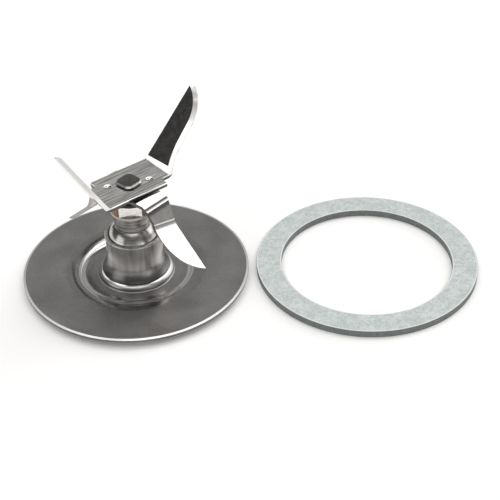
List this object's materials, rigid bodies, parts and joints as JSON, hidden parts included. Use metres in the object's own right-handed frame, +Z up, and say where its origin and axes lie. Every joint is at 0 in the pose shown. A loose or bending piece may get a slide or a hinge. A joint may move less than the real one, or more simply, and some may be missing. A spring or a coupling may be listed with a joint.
{
  "type": "blender blade assembly",
  "caption": "Blender blade unit with folded, ground blades on a spinning shaft, a bronze bush in a stem, a round pressed base plate, and its flat rubber sealing ring beside it.",
  "frame": {"origin": "on the shaft's axis, on the surface that the stem's end and the sealing ring stand on", "axes": "+Z up along the shaft, +X from the blade unit towards the sealing ring, the picture taken looking along +Y and down"},
  "size_m": [0.1414, 0.071, 0.057],
  "materials": {
    "plate_steel": "satin rolled stainless sheet",
    "stem_steel": "polished stainless",
    "bronze": "turned sintered bronze",
    "shaft_steel": "plain steel",
    "blade_steel": "brushed stainless with bright ground edges",
    "fibre": "black fibre",
    "seal_rubber": "black rubber",
    "ring_rubber": "pale grey rubber, finely speckled"
  },
  "bodies": {
    "base": {"base_plate": "plate_steel", "bearing_stem": "stem_steel", "stem_cap": "stem_steel", "bearing_bushing": "bronze", "shaft_seal": "seal_rubber", "fibre_washer": "fibre", "sealing_ring": "ring_rubber"},
    "rotor": {"drive_shaft": "shaft_steel", "drive_washer": "fibre", "steel_washer": "shaft_steel", "lower_blade": "blade_steel", "blade_spacer": "shaft_steel", "upper_blade": "blade_steel"}
  },
  "joints": [
    {"name": "blade_spin", "type": "hinge", "parent": "base", "child": "rotor", "pos_m": [0, 0, 0], "axis": [0, 0, 1], "continuous": true}
  ]
}
